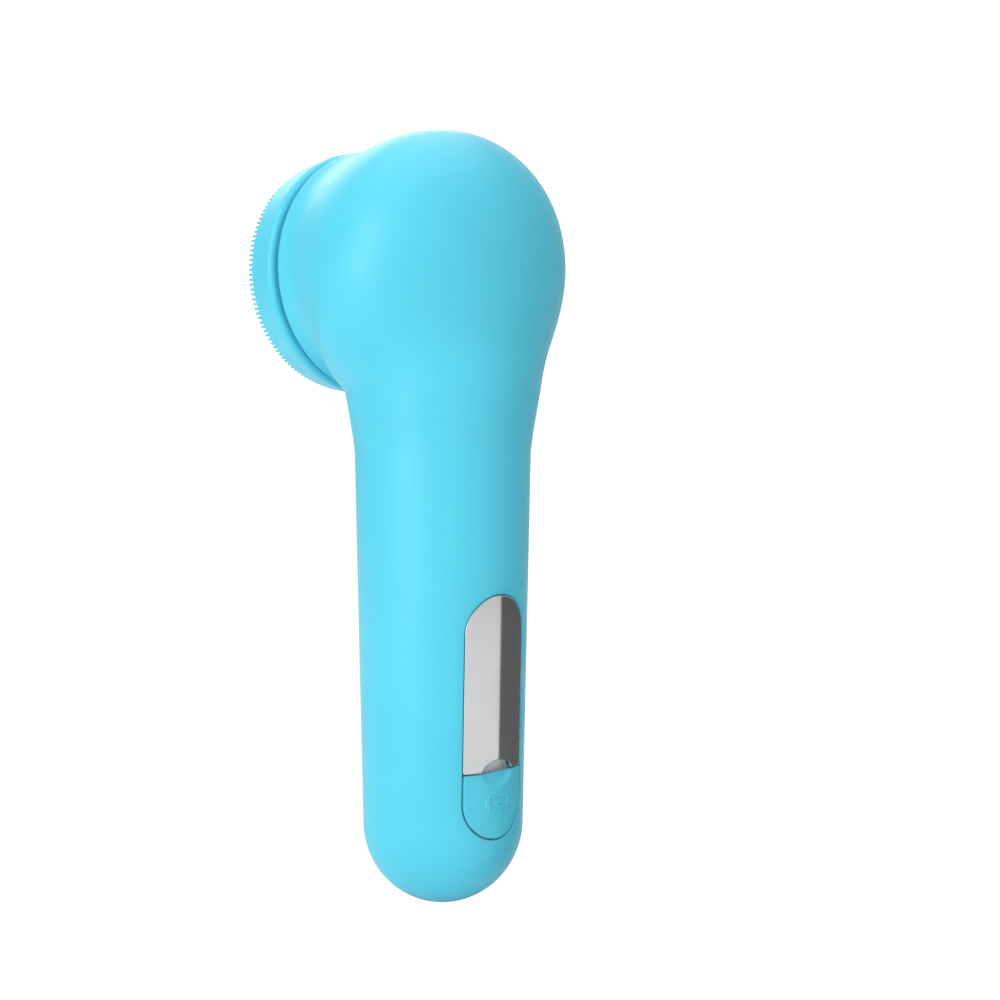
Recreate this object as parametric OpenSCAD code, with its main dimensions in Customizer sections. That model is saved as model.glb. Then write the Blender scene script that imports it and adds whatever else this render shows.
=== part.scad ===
// Cordless facial cleansing brush.
// Z runs up the handle, the brush faces -Y, the charging window faces +Y.
// Sizes in millimetres; the origin is the lowest point of the handle.

/* [Handle] */
// handle radius extrapolated to the floor
handle_r0 = 16.5; // [14:0.1:20]
// growth of the radius per millimetre of height
handle_taper = 0.0226; // [0:0.0001:0.04]
// extra radius at the neck
flare = 1.62; // [0:0.01:3]
// height where the neck starts to widen
flare_z = 94.6; // [85:0.5:98]
// thickness of the soft skin
skin_t = 1.5; // [1:0.1:1.8]
// wall of the rigid shell under the skin
shell_t = 1.8; // [1.4:0.1:2.2]

/* [Head] */
// radius of the head rim
head_r = 26.8; // [25:0.1:30]
// distance of the head rim in front of the handle axis
head_y = 22.8; // [20:0.1:26]
// height of the head rim centre
head_z = 135.2; // [130:0.1:150]
// upward tilt of the head axis
head_tilt = 4.2; // [0:0.1:8]
// radius of the rolled front rim
rim_roll = 1.4; // [0.8:0.1:2]
// clearance of the rim over the inner corner of the neck
corner = 1.7; // [1.4:0.1:3]
// back profile of the head, four radii about the inner corner
crown = [40.5, 73.7, 74.4, 50.2];
// side profile of the head, two half widths
cheek = [40.1, 23.8];
// radius left at the inner corner
corner_r = 6; // [0.5:0.1:8]

/* [Window] */
// half width of the stadium window
window_r = 8; // [6:0.1:10]
// height of the lower arc centre
window_low = 23.8; // [22:0.1:28]
// height of the upper arc centre
window_high = 57.6; // [45:0.1:64]
// height of the split between plate and port cover
split_z = 29.7; // [27:0.1:33]
// seam around the plate
plate_seam = 0.15; // [0.1:0.05:0.3]
// thickness of the steel plate
plate_t = 1.1; // [0.8:0.1:1.3]
// half width of the nail notch
notch_w = 4.1; // [3:0.1:5]
// height of the nail notch
notch_h = 2.35; // [1.5:0.05:3]

/* [Port] */
// height of the charging jack axis
jack_z = 22.6; // [21:0.1:26]
// radius of the plug bore
jack_r = 1.8; // [1.2:0.05:2]
// depth of the plug bore
jack_depth = 9; // [6:0.5:10]
// gap around the port cover
cover_gap = 0.3; // [0.2:0.05:0.5]
// thickness of the port cover
cover_t = 1.2; // [0.9:0.1:1.4]

/* [Button] */
// height of the power button
button_z = 80; // [72:0.5:84]
// radius of the power button
button_r = 6; // [4.5:0.1:6.4]
// travel of the power button
button_travel = 0.4; // [0.2:0.05:0.5]
// gap around the power button
button_gap = 0.3; // [0.2:0.05:0.5]

/* [Power] */
// radius of the battery cell
cell_r = 7; // [5:0.1:7.2]
// length of the battery cell
cell_len = 46; // [30:0.5:47]
// height of the cell's lower end
cell_z = 29; // [28:0.5:32]

/* [Drive] */
// gear module
gear_m = 0.5; // [0.4:0.05:0.55]
// teeth of both pinions
pinion_n = 12; // [12:1:14]
// teeth of both wheels
wheel_n = 40; // [36:1:42]
// radius of the spindle
spindle_r = 3; // [2.5:0.1:3.5]
// radius of the motor can
motor_r = 12; // [9:0.1:13]
// length of the motor can
motor_len = 17; // [12:0.5:19]
// radial clearance of running fits
run = 0.05; // [0.03:0.01:0.08]

/* [Brush] */
// radius of the pad's front edge
pad_r = 26.3; // [24:0.05:28]
// radius of the pad's back edge
pad_back_r = 27; // [25:0.05:29]
// groove between the rim and the pad
pad_gap = 1.7; // [1.2:0.1:4]
// height of the pad front face over the rim
pad_front = 10.2; // [9:0.1:16]
// radius of the carrier that shows in the groove
carrier_r = 22.8; // [20:0.1:24]
// height of the bristles
bristle_h = 2.2; // [1:0.1:4]
// bristles in the outer ring
bristle_n = 78; // [40:1:90]

/* [Output] */
// which piece to make

/* [Hidden] */
RING = 44;
$fn = 64;
C_SKIN = [0.36, 0.81, 0.9];
C_ABS = [0.9, 0.91, 0.92];
C_STEEL = [0.75, 0.76, 0.78];
C_BRASS = [0.78, 0.62, 0.32];
C_DARK = [0.15, 0.16, 0.18];
C_BOARD = [0.1, 0.4, 0.25];
dome_r = handle_r0 / (1 - handle_taper);
wall = skin_t + shell_t;
arm = head_r + corner;
swing = 90 - head_tilt;
pivot_y = -head_y + rim_roll * cos(head_tilt) - arm * sin(head_tilt);
pivot_z = head_z - rim_roll * sin(head_tilt) - arm * cos(head_tilt);
neck_r = handle_r0 + handle_taper * pivot_z + flare;
neck_k = handle_taper + flare * 1.2 / (pivot_z - flare_z);
swing_rad = swing * PI / 180;
front_t = 2.2;
land_r = 21.9;
rear_z = -17.2;
centre_d = gear_m * (pinion_n + wheel_n) / 2;
jack_face = handle_r(jack_z) - wall + 0.5;
button_face = handle_r(button_z);
button_seat = button_face - wall - 2.4;
button_back = button_seat - 1.1;
board_y = cell_r + 1.6;
sw_board_y = -cell_r - 1.4;
cell_y = -0.4;
plunger_r = 1.4;
screw_r = 0.9;
screw_at = [[-11.2, 36], [-11.2, 60], [11.6, 86], [11.6, 99]];
post_at = [[15.8, 5.7], [-15.8, 5.7], [13.9, -9.4], [-13.9, -9.4]];

// depth of the flat under each shell screw's head
function seat_x(s) =
  sqrt(pow(handle_r(s[1]) - skin_t - 0.4, 2) - pow(abs(s[0]) + 1.7, 2)) - 1.2;

// height profile of the handle's radius
function handle_r(z) = handle_r0 + handle_taper * z
  + flare * pow(max(0, (z - flare_z) / (pivot_z - flare_z)), 1.2);
function fact(n) = n < 2 ? 1 : n * fact(n - 1);
function pick(n, i) = fact(n) / fact(i) / fact(n - i);
function sum(v, i = 0) = i >= len(v) ? 0 : v[i] + sum(v, i + 1);
// Bezier value of the control list v at t
function bez(v, t) = let (n = len(v) - 1)
  sum([for (i = [0:n]) pick(n, i) * v[i] * pow(t, i) * pow(1 - t, n - i)]);

// the three radii about the inner corner: crown, corner and half width
function crown_r(t) = let (a = neck_r - pivot_y)
  bez(concat([a, a * (1 + neck_k * swing_rad / 6)], crown, [arm + head_r]), t);
function inner_r(t) = let (a = -neck_r - pivot_y)
  bez([a, a, corner_r, arm - head_r], t);
function cheek_r(t) =
  bez(concat([neck_r, neck_r - neck_k * pivot_y * swing_rad / 4], cheek,
    [head_r]), t);

// closed rings of points from the dome to the rim, d inside the surface
function flat_ring(r, z) =
  [for (i = [0:RING - 1]) let (a = 360 * i / RING) [r * sin(a), r * cos(a), z]];
function head_ring(t, d) = let (
    out = crown_r(t) - d,
    in = inner_r(t) + d,
    c = (out + in) / 2,
    p = (out - in) / 2,
    q = cheek_r(t) - d,
    s = swing * t)
  [for (i = [0:RING - 1]) let (a = 360 * i / RING, k = c + p * cos(a))
    [q * sin(a), pivot_y + k * cos(s), pivot_z + k * sin(s)]];
function rim_ring(a, d) = let (
    r = head_r - d - rim_roll * (1 - cos(a)),
    h = rim_roll * (sin(a) - 1),
    y0 = -head_y - h * cos(head_tilt),
    z0 = head_z + h * sin(head_tilt))
  [for (i = [0:RING - 1]) let (b = 360 * i / RING)
    [r * sin(b), y0 + r * cos(b) * sin(head_tilt),
     z0 + r * cos(b) * cos(head_tilt)]];
function rings(d) = concat(
  [for (a = [10:10:90]) flat_ring((dome_r - d) * sin(a),
    dome_r - (dome_r - d) * cos(a))],
  [for (z = [45, 72, flare_z, 0.72 * flare_z + 0.28 * pivot_z,
      0.39 * flare_z + 0.61 * pivot_z]) flat_ring(handle_r(z) - d, z)],
  [for (i = [0:16]) head_ring(i / 16, d)],
  [for (a = [30:30:90]) rim_ring(a, d)]);

// closed solid of the whole outside, d below its surface
module body(d) {
  list = rings(d);
  n = len(list);
  points = concat([[0, 0, d]], [for (r = list) each r],
    [[0, -head_y, head_z]]);
  last = len(points) - 1;
  polyhedron(points, concat(
    [for (j = [0:RING - 1]) [0, 1 + (j + 1) % RING, 1 + j]],
    [for (i = [0:n - 2]) for (j = [0:RING - 1]) let (
      a = 1 + i * RING + j, b = 1 + i * RING + (j + 1) % RING)
      each [[a, b, a + RING], [b, b + RING, a + RING]]],
    [for (j = [0:RING - 1]) let (a = 1 + (n - 1) * RING)
      [a + j, a + (j + 1) % RING, last]]), convexity = 6);
}

// places children on the head axis, Z pointing at the brush face
module head() {
  translate([0, -head_y, head_z])
    rotate([90 - head_tilt, 0, 0])
      children();
}

// stadium prism through the back of the handle, grown by g
module window(g, y0 = 8) {
  rotate([-90, 0, 0])
    translate([0, 0, y0])
      linear_extrude(handle_r0 + 6 - y0) {
        translate([0, -window_low])
          circle(r = window_r + g);
        translate([0, -window_high])
          circle(r = window_r + g);
        translate([-window_r - g, -window_high])
          square([2 * (window_r + g), window_high - window_low]);
      }
}

// curved layer of the handle between depths a and b
module layer(a, b) {
  rotate_extrude($fn = 128)
    polygon([[handle_r(0) - b, 0], [handle_r(0) - a, 0],
      [handle_r(72) - a, 72], [handle_r(72) - b, 72]]);
}

// cylinder along Y: outer face at y1, inner face at y0
module along_y(r, y0, y1, z) {
  translate([0, y1, z])
    rotate([90, 0, 0])
      cylinder(r = r, h = y1 - y0);
}

module along_x(r, x0, x1, at) {
  translate([x0, at[0], at[1]])
    rotate([0, 90, 0])
      cylinder(r = r, h = x1 - x0);
}

module nail_notch() {
  translate([0, 0, split_z - 0.3])
    rotate([-90, 0, 0])
      linear_extrude(30)
        scale([notch_w, notch_h + 0.3])
          circle(r = 1);
}

module skin() {
  color(C_SKIN)
    difference() {
      body(0);
      intersection() {
        body(skin_t);
        head()
          translate([-60, -150, -80])
            cube([120, 210, 80 - skin_t]);
      }
      head()
        translate([0, 0, -5])
          cylinder(r = land_r, h = 10);
      window(0);
      along_y(button_r + button_gap, -30, -8, button_z);
      along_y(1.2, -30, -8, button_z - 12);
    }
}

module shell_solid() {
  difference() {
    union() {
      difference() {
        intersection() {
          body(skin_t);
          head()
            translate([-60, -150, -80])
              cube([120, 210, 80 - skin_t]);
        }
        intersection() {
          body(wall);
          head()
            translate([-60, -150, -80])
              cube([120, 210, 80 - skin_t - front_t]);
        }
      }
      head()
        translate([0, 0, -skin_t - 0.5])
          cylinder(r = land_r, h = skin_t + 0.3);
      intersection() {
        union() {
          along_y(button_r + 2.8, -button_seat - 5, -button_seat, button_z);
          along_y(6, jack_face - 4, jack_face - 0.4, jack_z);
          for (s = screw_at)
            along_x(2.3, -20, 20, s);
        }
        body(skin_t + 0.4);
      }
    }
    head()
      translate([0, 0, -6])
        cylinder(r = 5, h = 10);
    head()
      translate([0, 0, -skin_t - 0.2])
        cylinder(r = 6.5, h = 10);
    head()
      translate([0, centre_d, -6])
        cylinder(r = 1, h = 3.8);
    head()
      for (p = post_at)
        translate([p[0], p[1], -6])
          cylinder(r = 0.8, h = 3.4);
    along_y(button_r + button_gap, -30, -5, button_z);
    along_y(1.2, -30, -5, button_z - 12);
    along_y(4.2, jack_face - 0.1, 30, jack_z);
    along_y(3.4, 0, 30, jack_z);
    for (z = [38, 56])
      along_y(1.2, 8, 30, z);
    intersection() {
      nail_notch();
      layer(skin_t - 1, skin_t + 0.9);
    }
    for (s = screw_at) {
      along_x(screw_r, -6, 12, s);
      along_x(1.8, seat_x(s), 30, s);
    }
  }
}

module shell_left() {
  color(C_ABS)
    intersection() {
      shell_solid();
      translate([-60, -60, -5])
        cube([60, 120, 200]);
    }
}

module shell_right() {
  color(C_ABS)
    intersection() {
      shell_solid();
      translate([0, -60, -5])
        cube([60, 120, 200]);
    }
}

module shell_screws() {
  color(C_STEEL)
    for (s = screw_at) {
      along_x(screw_r, -6, seat_x(s) + 0.1, s);
      difference() {
        along_x(1.7, seat_x(s), seat_x(s) + 1.2, s);
        along_x(0.7, seat_x(s) + 0.6, seat_x(s) + 1.3, s);
      }
    }
}

module back_plate() {
  color(C_STEEL) {
    difference() {
      intersection() {
        layer(0.15, 0.15 + plate_t);
        window(-plate_seam);
        translate([-20, 0, split_z + 0.15])
          cube([40, 40, 60]);
      }
      nail_notch();
    }
    for (z = [38, 56])
      along_y(1.2, handle_r(z) - wall - 0.6, handle_r(z) - 0.15 - plate_t / 2, z);
  }
}

module port_cover() {
  color(C_SKIN)
    difference() {
      union() {
        intersection() {
          layer(0.05, 0.05 + cover_t);
          window(-cover_gap);
          translate([-20, 0, 0])
            cube([40, 40, split_z - 0.15]);
        }
        along_y(3.6, jack_face + 0.5, handle_r(jack_z) - 0.5, jack_z);
        cover_icon();
      }
      intersection() {
        nail_notch();
        layer(-1, 0.55);
      }
      along_y(2.6, 0, jack_face + 1.2, jack_z);
    }
}

// raised battery and bolt outline
module cover_icon() {
  intersection() {
    layer(-0.2, 0.4);
    rotate([-90, 0, 0])
      translate([0, -jack_z - 1, 10])
        linear_extrude(12) {
          difference() {
            square([5.4, 2.8], center = true);
            square([4.7, 2.1], center = true);
            square([2, 4], center = true);
          }
          translate([2.85, -0.4])
            square([0.5, 0.8]);
          polygon([[0.9, -2], [0.5, -2], [-0.9, 0.2], [-0.1, 0.2], [-0.9, 2],
            [-0.5, 2], [0.9, -0.2], [0.1, -0.2]]);
        }
  }
}

module charge_jack() {
  color(C_DARK)
    difference() {
      along_y(3.4, jack_face - jack_depth - 1.5, jack_face - 0.1, jack_z);
      along_y(jack_r, jack_face - jack_depth, 30, jack_z);
      translate([-0.9, jack_face - jack_depth + 1.5, jack_z - 4])
        cube([1.8, 2, 1.4]);
    }
}

module jack_contact() {
  color(C_BRASS)
    translate([-0.9, jack_face - jack_depth + 1.5, jack_z - 3.3])
      cube([1.8, 2, 0.6]);
}

module main_board() {
  color(C_BOARD)
    translate([-7.5, board_y, 28])
      cube([15, 1.2, 48]);
}

module board_chips() {
  color(C_DARK)
    for (c = [[-3, 34, 6, 5], [-5.5, 46, 4, 4], [1, 52, 4, 6], [-2, 66, 5, 3]])
      translate([c[0], board_y + 1.2, c[1]])
        cube([c[2], 1, c[3]]);
}

module switch_board() {
  color(C_BOARD)
    difference() {
      translate([-6, sw_board_y, 62])
        cube([12, 1, 28]);
      along_y(1.1, -20, 0, 87);
    }
}

module tact_switch() {
  color(C_DARK)
    difference() {
      translate([-3, sw_board_y - 1.9, button_z - 3])
        cube([6, 1.9, 6]);
      along_y(plunger_r + run, sw_board_y - 5, sw_board_y - 0.5, button_z);
    }
}

module switch_plunger() {
  color(C_ABS)
    along_y(plunger_r, sw_board_y - 2.4, sw_board_y - 1, button_z);
}

module power_button() {
  color(C_SKIN) {
    difference() {
      intersection() {
        along_y(button_r, -button_face - 1, -button_back, button_z);
        rotate_extrude($fn = 128)
          polygon([[0, 60], [handle_r(60) + 0.1, 60],
            [handle_r(92) + 0.1, 92], [0, 92]]);
      }
      translate([0, -button_face - 31.4, button_z])
        sphere(r = 32, $fn = 96);
    }
    along_y(button_r + 1.4, -button_seat + 0.1, -button_back, button_z);
    along_y(1.2, -button_back - 0.1, sw_board_y - 2.45, button_z);
  }
}

module light_pipe() {
  color([0.9, 0.95, 1])
    along_y(1.2, -handle_r(button_z - 12) + 0.05, sw_board_y - 0.6,
      button_z - 12);
}

module battery_cell() {
  color([0.2, 0.35, 0.75])
    translate([0, cell_y, cell_z]) {
      cylinder(r = cell_r, h = cell_len);
      cylinder(r = 2.5, h = cell_len + 0.8);
    }
}

module cell_contacts() {
  color(C_STEEL) {
    translate([-2.5, cell_y - 3, cell_z + cell_len + 0.8])
      cube([5, 6, 0.3]);
    translate([-2.5, cell_y - 3, cell_z - 0.3])
      cube([5, 6, 0.3]);
  }
}

module cell_cradle() {
  color(C_ABS)
    translate([0, cell_y, 0])
      difference() {
        union()
          for (z = [cell_z + 3, cell_z + 26])
            translate([0, 0, z])
              cylinder(r = cell_r + 1, h = 5);
        translate([0, 0, cell_z])
          cylinder(r = cell_r, h = 60);
      }
}

module motor_can() {
  color(C_STEEL)
    head()
      difference() {
        translate([0, 0, rear_z - motor_len])
          cylinder(r = motor_r, h = motor_len);
        translate([0, 0, rear_z - motor_len - 1])
          cylinder(r = 1 + run, h = motor_len + 2);
      }
}

module motor_cap() {
  color(C_DARK)
    head()
      translate([0, 0, rear_z - motor_len - 2.2])
        difference() {
          cylinder(r = motor_r - 1, h = 2.2);
          translate([0, 0, 1])
            cylinder(r = 2, h = 3);
        }
}

module motor_shaft() {
  color(C_STEEL)
    head()
      translate([0, 0, rear_z - motor_len - 0.8])
        cylinder(r = 1, h = motor_len + 6.4);
}

// spur gear with involute flanks, backlash b and a space at angle 0 if odd
module gear(n, h, b = 0.12) {
  rp = gear_m * n / 2;
  rb = rp * cos(20);
  ra = rp + gear_m * 0.78;
  rf = rp - gear_m * 1.25;
  half = 90 / n - b / rp * 90 / PI + (tan(20) - 20 * PI / 180) * 180 / PI;
  flank = [for (i = [0:4]) let (
      r = max(rb, rf) + (ra - max(rb, rf)) * i / 4,
      c = acos(min(1, rb / r)))
    [r, half - (tan(c) - c * PI / 180) * 180 / PI]];
  linear_extrude(h)
    polygon([for (k = [0:n - 1]) let (m = 360 * k / n) each concat(
      [[rf * cos(m - half - 1), rf * sin(m - half - 1)]],
      [for (i = [0:4]) let (f = flank[i])
        [f[0] * cos(m - f[1]), f[0] * sin(m - f[1])]],
      [for (i = [4:-1:0]) let (f = flank[i])
        [f[0] * cos(m + f[1]), f[0] * sin(m + f[1])]],
      [[rf * cos(m + half + 1), rf * sin(m + half + 1)]])]);
}

module motor_pinion() {
  color(C_BRASS)
    head()
      translate([0, 0, rear_z + 1.9])
        rotate([0, 0, 90 + 180 / pinion_n])
          difference() {
            gear(pinion_n, 3.4);
            translate([0, 0, -1])
              cylinder(r = 1, h = 6);
          }
}

module compound_gear() {
  color([0.93, 0.93, 0.9])
    head()
      translate([0, centre_d, 0])
        difference() {
          union() {
            translate([0, 0, rear_z + 2.2])
              rotate([0, 0, -90])
                gear(wheel_n, 3);
            translate([0, 0, rear_z + 5.1])
              cylinder(r = gear_m * (pinion_n / 2 - 1.25), h = 6);
            translate([0, 0, rear_z + 6.4])
              rotate([0, 0, -90 + 180 / pinion_n])
                gear(pinion_n, 4.4);
          }
          translate([0, 0, rear_z])
            cylinder(r = 1 + run, h = 20);
        }
}

module gear_pin() {
  color(C_STEEL)
    head()
      translate([0, centre_d, rear_z + 0.2])
        cylinder(r = 1, h = -rear_z - 2.4);
}

module output_gear() {
  color([0.93, 0.93, 0.9])
    head()
      translate([0, 0, rear_z + 7])
        difference() {
          rotate([0, 0, 90])
            gear(wheel_n, 3.4);
          translate([0, 0, -1])
            cylinder(r = spindle_r, h = 6);
        }
}

module spindle() {
  color(C_STEEL)
    head() {
      translate([0, 0, rear_z + 6.2])
        cylinder(r = spindle_r, h = -rear_z - 6.2 + 0.2);
      translate([0, 0, 0.1])
        cylinder(r = spindle_r - 0.1, h = pad_front - 4, $fn = 6);
    }
}

module gearbox_frame() {
  color(C_ABS)
    head()
      difference() {
        union() {
          translate([0, 0, rear_z])
            cylinder(r = 19.4, h = 1.6);
          for (p = post_at)
            translate([p[0], p[1], rear_z])
              cylinder(r = 2.4, h = -rear_z - skin_t - front_t);
        }
        translate([0, 0, rear_z - 1])
          cylinder(r = 3.6, h = 4);
        translate([0, centre_d, rear_z - 1])
          cylinder(r = 1, h = 4);
        for (p = post_at)
          translate([p[0], p[1], rear_z - 1])
            cylinder(r = screw_r, h = 20);
      }
}

module frame_screws() {
  color(C_STEEL)
    head()
      for (p = post_at)
        translate([p[0], p[1], rear_z]) {
          translate([0, 0, -1.2])
            cylinder(r = 1.8, h = 1.2);
          cylinder(r = 0.8, h = -rear_z - 2.6);
        }
}

module front_bush() {
  color(C_BRASS)
    head()
      translate([0, 0, -skin_t - front_t - 0.6])
        difference() {
          cylinder(r = 5, h = front_t + 0.4);
          translate([0, 0, -1])
            cylinder(r = spindle_r + run, h = 6);
        }
}

module shaft_seal() {
  color(C_DARK)
    head()
      translate([0, 0, -skin_t - 0.2])
        difference() {
          cylinder(r = 6.5, h = skin_t);
          translate([0, 0, -1])
            cylinder(r = spindle_r + 0.3, h = 6);
        }
}

module brush_carrier() {
  color(C_SKIN)
    head()
      difference() {
        translate([0, 0, 0.4])
          cylinder(r = carrier_r, h = pad_front - 3);
        difference() {
          translate([0, 0, -1])
            cylinder(r = carrier_r - 2, h = pad_front - 3.6);
          translate([0, 0, -2])
            cylinder(r = 6, h = 20);
          for (a = [0:60:300])
            rotate([0, 0, a])
              translate([0, -0.6, -2])
                cube([30, 1.2, 20]);
        }
        translate([0, 0, -1])
          cylinder(r = spindle_r + 0.3, h = 2);
        translate([0, 0, 0])
          cylinder(r = spindle_r + 0.02, h = pad_front - 3.6, $fn = 6);
      }
}

module brush_pad() {
  color(C_SKIN)
    head() {
      difference() {
        rotate_extrude($fn = 128)
          polygon([[0, pad_gap], [pad_back_r - 1.2, pad_gap],
            [pad_back_r - 0.35, pad_gap + 0.35],
            [pad_back_r, pad_gap + 1.2],
            [pad_r, pad_front - 0.4], [pad_r - 0.4, pad_front],
            [0, pad_front]]);
        cylinder(r = carrier_r, h = pad_front - 2.6);
      }
      for (i = [0:bristle_n - 1])
        rotate([0, 0, 360 * i / bristle_n])
          translate([pad_r - 0.8, 0, pad_front - 0.3])
            cylinder(r = 0.3, h = bristle_h + 0.3, $fn = 16);
      for (k = [1:5])
        for (i = [0:6 * k - 1])
          rotate([0, 0, 60 * i / k + 7 * k])
            translate([4.3 * k, 0, pad_front - 0.3])
              cylinder(r1 = 1, r2 = 0.6, h = bristle_h + 0.2, $fn = 16);
    }
}

module wire(points, r) {
  for (i = [0:len(points) - 2]) let (
      a = points[i], d = points[i + 1] - a,
      h = norm(d), t = acos(d[2] / h), p = atan2(d[1], d[0])) {
    translate(a)
      rotate([0, t, p])
        cylinder(r = r, h = h, $fn = 8);
    translate(a)
      sphere(r = r, $fn = 8);
  }
}

module motor_wires() {
  color([0.75, 0.1, 0.1])
    for (x = [-3.5, 3.5])
      wire([[x, 14.1, 132], [x, 16.2, 127], [x, 16.2, 118], [x, 8, 108],
        [x, 4, 98], [x, 4, 84], [x, board_y + 0.6, 76.6]], 0.6);
}

module power_wires() {
  color([0.1, 0.1, 0.1]) {
    wire([[-3.9, 7.5, 23], [-5, 7.9, 25.5], [-5, board_y + 0.6, 27.5]], 0.5);
    wire([[0, cell_y, cell_z + cell_len + 1.6], [3, 4, 79],
      [5.5, board_y + 0.6, 76.5]], 0.5);
  }
}

skin();
shell_left();
shell_right();
shell_screws();
back_plate();
port_cover();
charge_jack();
jack_contact();
main_board();
board_chips();
switch_board();
tact_switch();
switch_plunger();
power_button();
light_pipe();
battery_cell();
cell_contacts();
cell_cradle();
motor_can();
motor_cap();
motor_shaft();
motor_pinion();
compound_gear();
gear_pin();
output_gear();
spindle();
gearbox_frame();
frame_screws();
front_bush();
shaft_seal();
brush_carrier();
brush_pad();
motor_wires();
power_wires();
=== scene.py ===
import math

import bmesh
import bpy
import numpy as np
from mathutils import Matrix, Vector


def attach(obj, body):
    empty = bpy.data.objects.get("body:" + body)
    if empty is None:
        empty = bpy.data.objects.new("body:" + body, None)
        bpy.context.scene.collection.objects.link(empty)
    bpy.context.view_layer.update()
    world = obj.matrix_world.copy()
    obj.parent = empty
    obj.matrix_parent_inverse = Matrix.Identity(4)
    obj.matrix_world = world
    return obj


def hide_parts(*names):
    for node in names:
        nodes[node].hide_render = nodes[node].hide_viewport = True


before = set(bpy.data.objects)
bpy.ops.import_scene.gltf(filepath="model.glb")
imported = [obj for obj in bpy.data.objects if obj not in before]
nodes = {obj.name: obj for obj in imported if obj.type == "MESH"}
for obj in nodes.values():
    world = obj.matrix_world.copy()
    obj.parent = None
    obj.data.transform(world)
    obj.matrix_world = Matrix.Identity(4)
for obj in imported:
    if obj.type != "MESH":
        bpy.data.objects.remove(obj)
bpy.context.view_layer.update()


# ---------------------------------------------------------------------------
# Rigid shell halves, cradle and gearbox frame: plain injection mouldings.
# They are closed on each other at X = 0 and the soft skin is cast over them.

def shader_group(name, inputs, outputs):
    """An empty node group with named inputs {name: (kind, default)} and outputs {name: kind}."""
    group = bpy.data.node_groups.new(name, "ShaderNodeTree")
    for label, (kind, default) in inputs.items():
        socket = group.interface.new_socket(label, in_out="INPUT", socket_type=kind)
        socket.default_value = default
    for label, kind in outputs.items():
        group.interface.new_socket(label, in_out="OUTPUT", socket_type=kind)
    return group, group.nodes.new("NodeGroupInput"), group.nodes.new("NodeGroupOutput")


def add(tree, kind, settings=None, **sockets):
    """A node of that kind; sockets are set by name, from a value or from another node's output."""
    node = tree.nodes.new(kind)
    for key, value in (settings or {}).items():
        setattr(node, key, value)
    for key, value in sockets.items():
        slot = node.inputs[int(key[1:])] if key[0] == "_" else node.inputs[key.replace("_", " ")]
        if isinstance(value, bpy.types.NodeSocket):
            tree.links.new(value, slot)
        else:
            slot.default_value = value
    return node


COLOR, FLOAT = "NodeSocketColor", "NodeSocketFloat"


def moulded_group():
    """Moulded plastic and rubber: cloudy colour, smudged gloss and a fine spark-eroded grain.

    Colour is the base times one plus Variation times a cloud; Roughness is the base plus Smudge
    times a second cloud; Height is a fine noise plus a coarser ripple.
    """
    g, gin, gout = shader_group("moulded surface", {
        "Colour": (COLOR, (0.8, 0.8, 0.8, 1)), "Variation": (FLOAT, 0.06), "Cloud Size": (FLOAT, 60.0),
        "Roughness": (FLOAT, 0.5), "Smudge": (FLOAT, 0.08), "Grain Size": (FLOAT, 4000.0)},
        {"Colour": COLOR, "Roughness": FLOAT, "Height": FLOAT})
    at = add(g, "ShaderNodeTexCoord").outputs["Object"]
    cloud = add(g, "ShaderNodeTexNoise", Vector=at, Scale=gin.outputs["Cloud Size"], Detail=3.0)
    shift = add(g, "ShaderNodeMapRange", Value=cloud.outputs["Fac"], From_Min=0.3, From_Max=0.7,
                To_Min=-1.0, To_Max=1.0)
    tint = add(g, "ShaderNodeMath", {"operation": "MULTIPLY_ADD"}, _0=shift.outputs[0],
               _1=gin.outputs["Variation"], _2=1.0)
    colour = add(g, "ShaderNodeVectorMath", {"operation": "SCALE"}, _0=gin.outputs["Colour"],
                 Scale=tint.outputs[0])
    touch = add(g, "ShaderNodeTexNoise", Vector=at, Scale=230.0, Detail=5.0, Roughness=0.62)
    gloss = add(g, "ShaderNodeMapRange", Value=touch.outputs["Fac"], From_Min=0.35, From_Max=0.68,
                To_Min=-1.0, To_Max=1.0)
    rough = add(g, "ShaderNodeMath", {"operation": "MULTIPLY_ADD"}, _0=gloss.outputs[0],
                _1=gin.outputs["Smudge"], _2=gin.outputs["Roughness"])
    grain = add(g, "ShaderNodeTexNoise", Vector=at, Scale=gin.outputs["Grain Size"], Detail=2.0)
    ripple = add(g, "ShaderNodeTexNoise", Vector=at, Scale=420.0, Detail=1.0)
    height = add(g, "ShaderNodeMath", {"operation": "MULTIPLY_ADD"}, _0=ripple.outputs["Fac"],
                 _1=0.6, _2=grain.outputs["Fac"])
    g.links.new(colour.outputs[0], gout.inputs["Colour"])
    g.links.new(rough.outputs[0], gout.inputs["Roughness"])
    g.links.new(height.outputs[0], gout.inputs["Height"])
    return g


MOULDED = moulded_group()


def finish(name, group, colour, bump=0.15, depth=0.00002, shader=None, **values):
    """A material whose colour, roughness and bump come from a group; shader holds fixed values."""
    material = bpy.data.materials.new(name)
    material.use_nodes = True
    tree = material.node_tree
    bsdf = tree.nodes["Principled BSDF"]
    surface = tree.nodes.new("ShaderNodeGroup")
    surface.node_tree = group
    surface.inputs["Colour"].default_value = (*colour, 1)
    for key, value in values.items():
        surface.inputs[key.replace("_", " ")].default_value = value
    relief = add(tree, "ShaderNodeBump", Height=surface.outputs["Height"], Strength=bump, Distance=depth)
    tree.links.new(surface.outputs["Colour"], bsdf.inputs["Base Color"])
    tree.links.new(surface.outputs["Roughness"], bsdf.inputs["Roughness"])
    tree.links.new(relief.outputs["Normal"], bsdf.inputs["Normal"])
    for key, value in (shader or {}).items():
        bsdf.inputs[key].default_value = value
    return material


def paint(material, *names):
    """Gives these CAD nodes that material."""
    for name in names:
        nodes[name].data.materials.clear()
        nodes[name].data.materials.append(material)


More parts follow.
